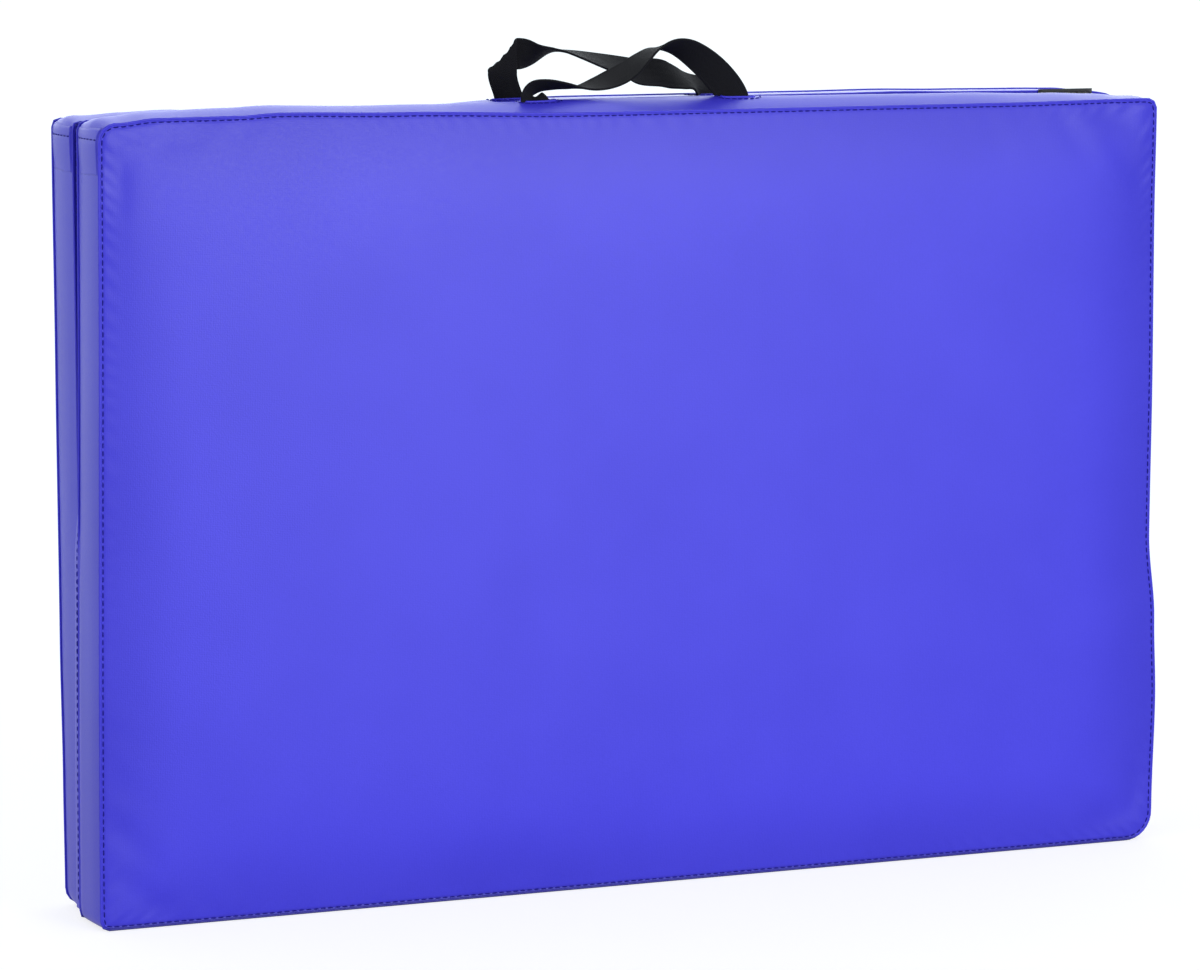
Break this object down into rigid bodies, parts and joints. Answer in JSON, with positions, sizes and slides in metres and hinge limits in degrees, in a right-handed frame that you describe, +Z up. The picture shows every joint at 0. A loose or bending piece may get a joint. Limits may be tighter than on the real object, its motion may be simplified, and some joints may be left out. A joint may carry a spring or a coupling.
{
  "type": "folding gym mat",
  "caption": "Two-panel padded exercise mat that folds in half on a sewn hinge, with a webbing carry handle on each panel, zipped vinyl covers and hook-and-loop closure.",
  "frame": {"origin": "bottom centre of the whole mat, folded shut and standing on its long side, between the two panels", "axes": "+X along the panels from the fold to the free ends; +Y from the front panel to the back panel; +Z up towards the carry handles"},
  "size_m": [0.92, 0.1106, 0.6761],
  "materials": {
    "vinyl": "satin",
    "foam": "matte",
    "webbing": "matte",
    "hook_and_loop": "matte",
    "thread": "satin",
    "zip_tape": "matte",
    "zip_coil": "satin",
    "zip_metal": "satin"
  },
  "bodies": {
    "front_panel": {"front_foam_outer_layer": "foam", "front_foam_inner_layer": "foam", "front_outer_face": "vinyl", "front_inner_face": "vinyl", "front_top_boxing": "vinyl", "front_bottom_boxing": "vinyl", "front_fold_end_boxing": "vinyl", "front_free_end_outer_boxing": "vinyl", "front_free_end_inner_boxing": "vinyl", "front_outer_welt": "vinyl", "front_inner_welt": "vinyl", "front_fold_flap": "vinyl", "front_handle_tails": "webbing", "front_handle_patches": "vinyl", "front_zip_tapes": "zip_tape", "front_zip_coils": "zip_coil", "front_zip_stops": "zip_metal", "front_loop_strip": "hook_and_loop", "fold_stitches": "thread"},
    "back_panel": {"back_foam_outer_layer": "foam", "back_foam_inner_layer": "foam", "back_outer_face": "vinyl", "back_inner_face": "vinyl", "back_top_boxing": "vinyl", "back_bottom_boxing": "vinyl", "back_fold_end_boxing": "vinyl", "back_free_end_outer_boxing": "vinyl", "back_free_end_inner_boxing": "vinyl", "back_outer_welt": "vinyl", "back_inner_welt": "vinyl", "back_fold_flap": "vinyl", "back_handle_tails": "webbing", "back_handle_patches": "vinyl", "back_zip_tapes": "zip_tape", "back_zip_coils": "zip_coil", "back_zip_stops": "zip_metal", "back_hook_strip": "hook_and_loop"},
    "front_handle_loop": {"front_handle": "webbing"},
    "front_slider": {"front_zip_slider": "zip_metal"},
    "front_pull_tab": {"front_zip_pull": "zip_metal"},
    "back_handle_loop": {"back_handle": "webbing"},
    "back_slider": {"back_zip_slider": "zip_metal"},
    "back_pull_tab": {"back_zip_pull": "zip_metal"}
  },
  "joints": [
    {"name": "fold", "type": "hinge", "parent": "front_panel", "child": "back_panel", "pos_m": [-0.45965, 0, 0.31], "axis": [0, 0, 1], "range_deg": [0, 180]},
    {"name": "front_handle_swing", "type": "hinge", "parent": "front_panel", "child": "front_handle_loop", "pos_m": [-0.00215, -0.029, 0.6213], "axis": [1, 0, 0], "range_deg": [-25, 80]},
    {"name": "back_handle_swing", "type": "hinge", "parent": "back_panel", "child": "back_handle_loop", "pos_m": [-0.00215, 0.029, 0.6213], "axis": [1, 0, 0], "range_deg": [-80, 25]},
    {"name": "front_zip_slide", "type": "slide", "parent": "front_panel", "child": "front_slider", "axis": [0, 0, 1], "range_m": [0, 0.534]},
    {"name": "front_pull_tab_swing", "type": "hinge", "parent": "front_slider", "child": "front_pull_tab", "pos_m": [0.45855, -0.029, 0.043], "axis": [0, -1, 0], "range_deg": [0, 175]},
    {"name": "back_zip_slide", "type": "slide", "parent": "back_panel", "child": "back_slider", "axis": [0, 0, 1], "range_m": [0, 0.534]},
    {"name": "back_pull_tab_swing", "type": "hinge", "parent": "back_slider", "child": "back_pull_tab", "pos_m": [0.45855, 0.029, 0.043], "axis": [0, -1, 0], "range_deg": [0, 175]}
  ]
}
